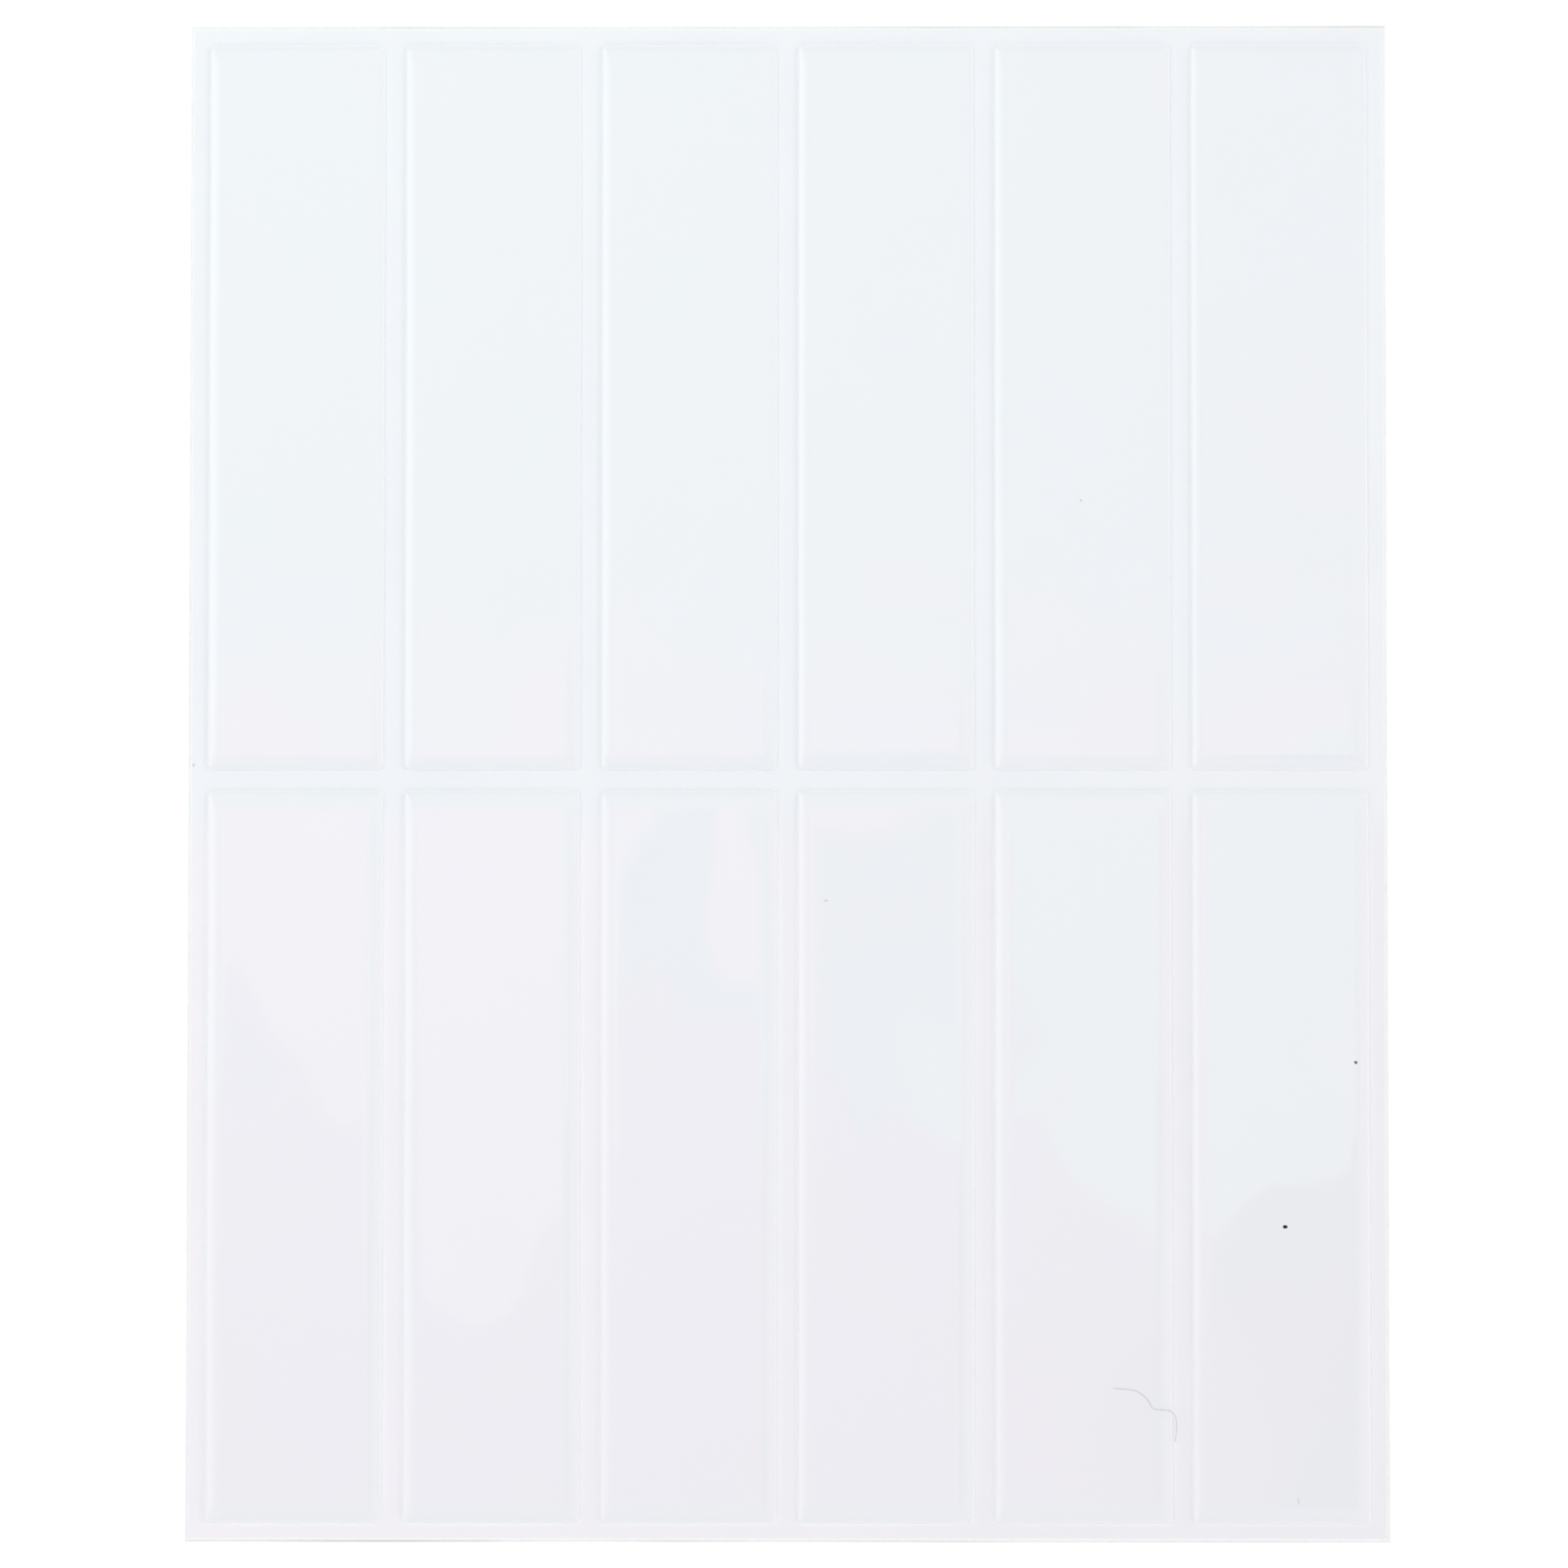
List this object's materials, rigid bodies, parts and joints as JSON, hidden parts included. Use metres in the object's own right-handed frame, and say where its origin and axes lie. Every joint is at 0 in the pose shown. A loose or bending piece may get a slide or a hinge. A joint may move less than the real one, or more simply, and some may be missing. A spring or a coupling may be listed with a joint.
{
  "type": "self-adhesive sheet of rectangular resin tiles",
  "caption": "Flat self-adhesive wall tile sheet: raised rectangular resin pads with domed edges on a thin film, backed by a release liner.",
  "frame": {"origin": "under the middle of the sheet, on the release liner's outer face", "axes": "+X across the sheet, +Y along the pads towards row 1, +Z out of the glossy face"},
  "size_m": [0.2412, 0.305, 0.0019],
  "materials": {
    "pad_resin": "glossy white cast resin",
    "face_film": "satin white film",
    "release_liner": "smooth white coated paper"
  },
  "bodies": {
    "root": {"release_liner": "release_liner", "face_film": "face_film", "tile_pad_r1_c1": "pad_resin", "tile_pad_r1_c2": "pad_resin", "tile_pad_r1_c3": "pad_resin", "tile_pad_r1_c4": "pad_resin", "tile_pad_r1_c5": "pad_resin", "tile_pad_r1_c6": "pad_resin", "tile_pad_r2_c1": "pad_resin", "tile_pad_r2_c2": "pad_resin", "tile_pad_r2_c3": "pad_resin", "tile_pad_r2_c4": "pad_resin", "tile_pad_r2_c5": "pad_resin", "tile_pad_r2_c6": "pad_resin"}
  },
  "joints": []
}
